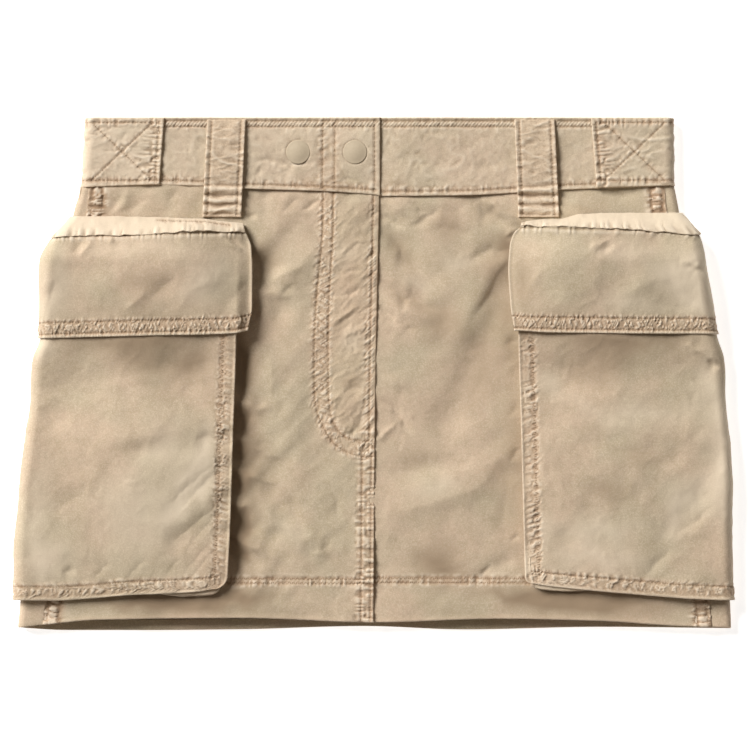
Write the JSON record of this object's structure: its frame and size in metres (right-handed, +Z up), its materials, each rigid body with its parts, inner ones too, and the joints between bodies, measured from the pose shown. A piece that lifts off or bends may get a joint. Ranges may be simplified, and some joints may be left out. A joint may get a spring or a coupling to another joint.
{
  "type": "cargo utility skirt",
  "caption": "Short cotton skirt lying flat, front up, with two flapped bellows pockets that wrap round its sides and a waistband closed by snaps.",
  "frame": {"origin": "on the surface the skirt lies on, under the middle of its bounding box", "axes": "+Z up out of the cloth, +Y towards the waist, +X towards the right as the front is seen"},
  "size_m": [0.4506, 0.32, 0.0253],
  "materials": {
    "canvas": "garment-washed khaki cotton, matt",
    "snap_enamel": "khaki enamel, satin"
  },
  "bodies": {
    "root": {"front_left": "canvas", "front_right": "canvas", "back": "canvas", "waistband_left": "canvas", "waistband_right": "canvas", "waistband_back": "canvas", "side_tab_left": "canvas", "side_tab_right": "canvas", "belt_loop_left": "canvas", "belt_loop_right": "canvas", "snap_outer": "snap_enamel", "snap_inner": "snap_enamel", "pocket_left": "canvas", "pocket_right": "canvas", "gusset_left": "canvas", "gusset_right": "canvas", "flap_left": "canvas", "flap_right": "canvas", "flap_top_left": "canvas", "flap_top_right": "canvas"}
  },
  "joints": []
}
